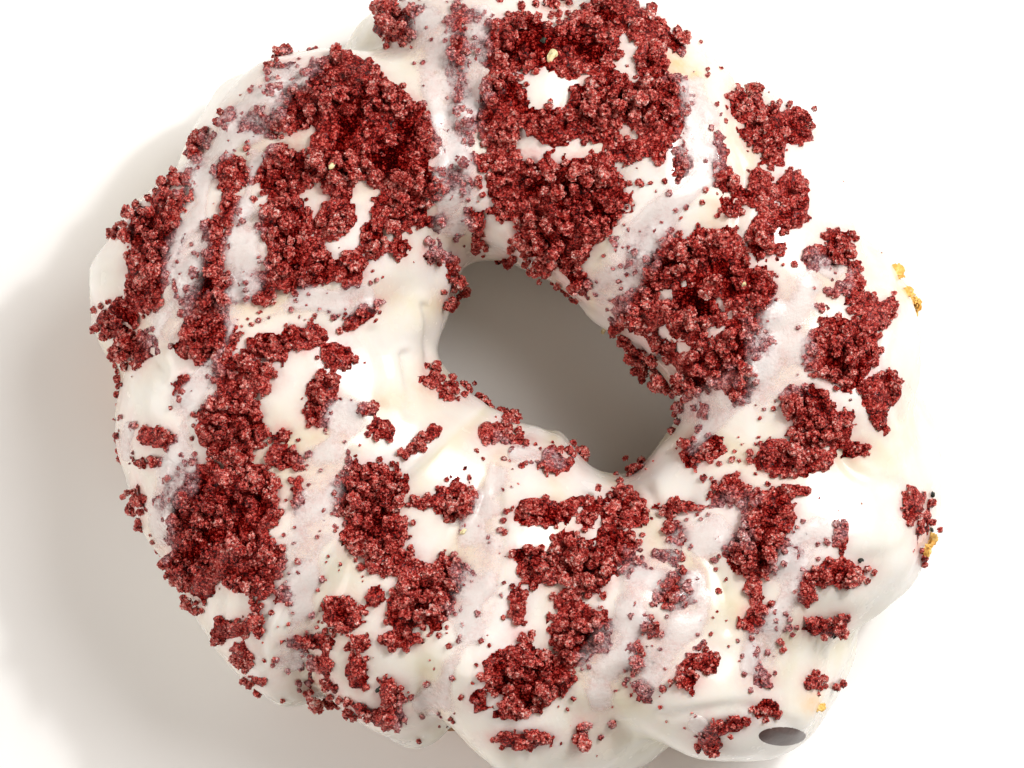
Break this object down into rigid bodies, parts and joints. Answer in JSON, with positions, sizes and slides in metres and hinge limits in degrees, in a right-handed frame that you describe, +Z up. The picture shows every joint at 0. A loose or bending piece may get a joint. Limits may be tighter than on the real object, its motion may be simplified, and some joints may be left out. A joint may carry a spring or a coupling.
{
  "type": "churro doughnut",
  "caption": "Twisted ring of fried churro dough under a thick white icing coat, strewn with red cake crumbs and drizzled with thin glaze; lies flat on its underside",
  "frame": {"origin": "middle of the box round the part, on the surface it stands on", "axes": "+Z up through the hole, +X to the right and +Y to the top of the view from above that shows the hole slanting down to the right"},
  "size_m": [0.0972, 0.0926, 0.0363],
  "materials": {
    "fried_dough": "dry golden-brown fried crust",
    "sugar_icing": "glossy ivory sugar icing, with dark red cake crumbs and a milky glaze on it in the visual model"
  },
  "bodies": {
    "root": {"dough_ring": "fried_dough", "white_icing": "sugar_icing"}
  },
  "joints": []
}
